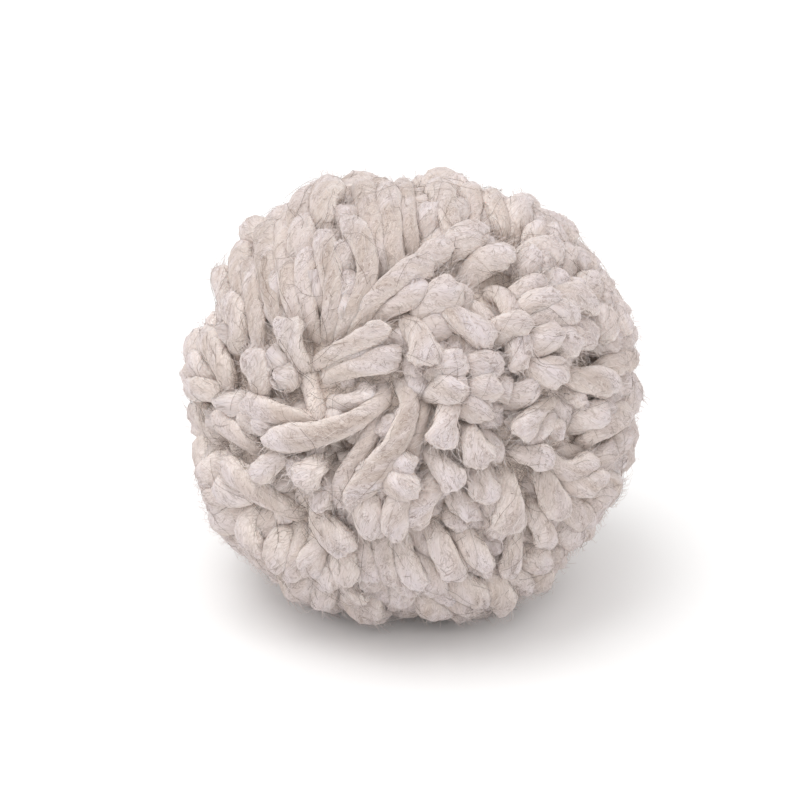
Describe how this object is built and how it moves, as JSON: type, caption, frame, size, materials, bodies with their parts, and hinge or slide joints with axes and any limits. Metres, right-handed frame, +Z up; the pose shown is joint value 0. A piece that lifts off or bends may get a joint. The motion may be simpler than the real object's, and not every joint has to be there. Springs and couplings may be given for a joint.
{
  "type": "yarn pom pom",
  "caption": "Round pom pom of thick, softly spun wool, tied round the middle, with its cut pile parting at the front.",
  "frame": {"origin": "on the floor, below the middle of the ball's width and depth", "axes": "+Z up, -Y towards the front, where the pile parts and the tie shows, +X to the right as seen from the front"},
  "size_m": [0.092, 0.0938, 0.0867],
  "materials": {
    "pile_wool": "soft, matt, undyed off-white wool",
    "tie_wool": "soft, matt, undyed off-white wool"
  },
  "bodies": {
    "root": {"pile": "pile_wool", "tie": "tie_wool"}
  },
  "joints": []
}
